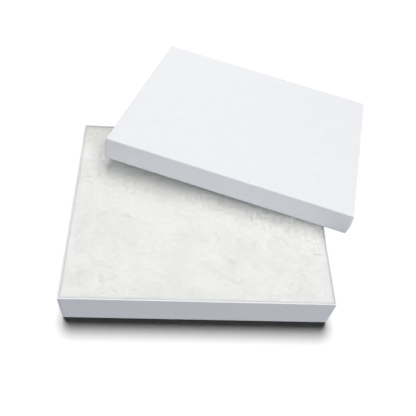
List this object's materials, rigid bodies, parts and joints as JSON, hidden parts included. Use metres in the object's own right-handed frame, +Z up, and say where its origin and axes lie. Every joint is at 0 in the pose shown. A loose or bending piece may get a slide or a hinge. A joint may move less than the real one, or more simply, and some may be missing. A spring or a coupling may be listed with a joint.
{
  "type": "jewelry gift box",
  "caption": "Shallow two-piece set-up box of paper-covered chipboard, filled with white fibre batting, its lift-off lid leaning open on the base.",
  "frame": {"origin": "centre of the base's underside, on the table", "axes": "+X along the base's long side, +Y towards its back, +Z up out of the base"},
  "size_m": [0.2035, 0.2182, 0.0458],
  "materials": {
    "cover_paper": "satin",
    "chipboard": "matte",
    "stay_paper": "matte",
    "fibre_fill": "matte"
  },
  "bodies": {
    "base": {"base_board": "chipboard", "base_wrap": "cover_paper", "base_stay_front_left": "stay_paper", "base_stay_front_right": "stay_paper", "base_stay_back_left": "stay_paper", "base_stay_back_right": "stay_paper", "fibre_pad": "fibre_fill"},
    "lid": {"lid_board": "chipboard", "lid_wrap": "cover_paper", "lid_stay_front_left": "stay_paper", "lid_stay_front_right": "stay_paper", "lid_stay_back_left": "stay_paper", "lid_stay_back_right": "stay_paper"}
  },
  "joints": [
    {"name": "lid_lift", "type": "slide", "parent": "base", "child": "lid", "axis": [0, 0, 1], "range_m": [0, 0.06]}
  ]
}
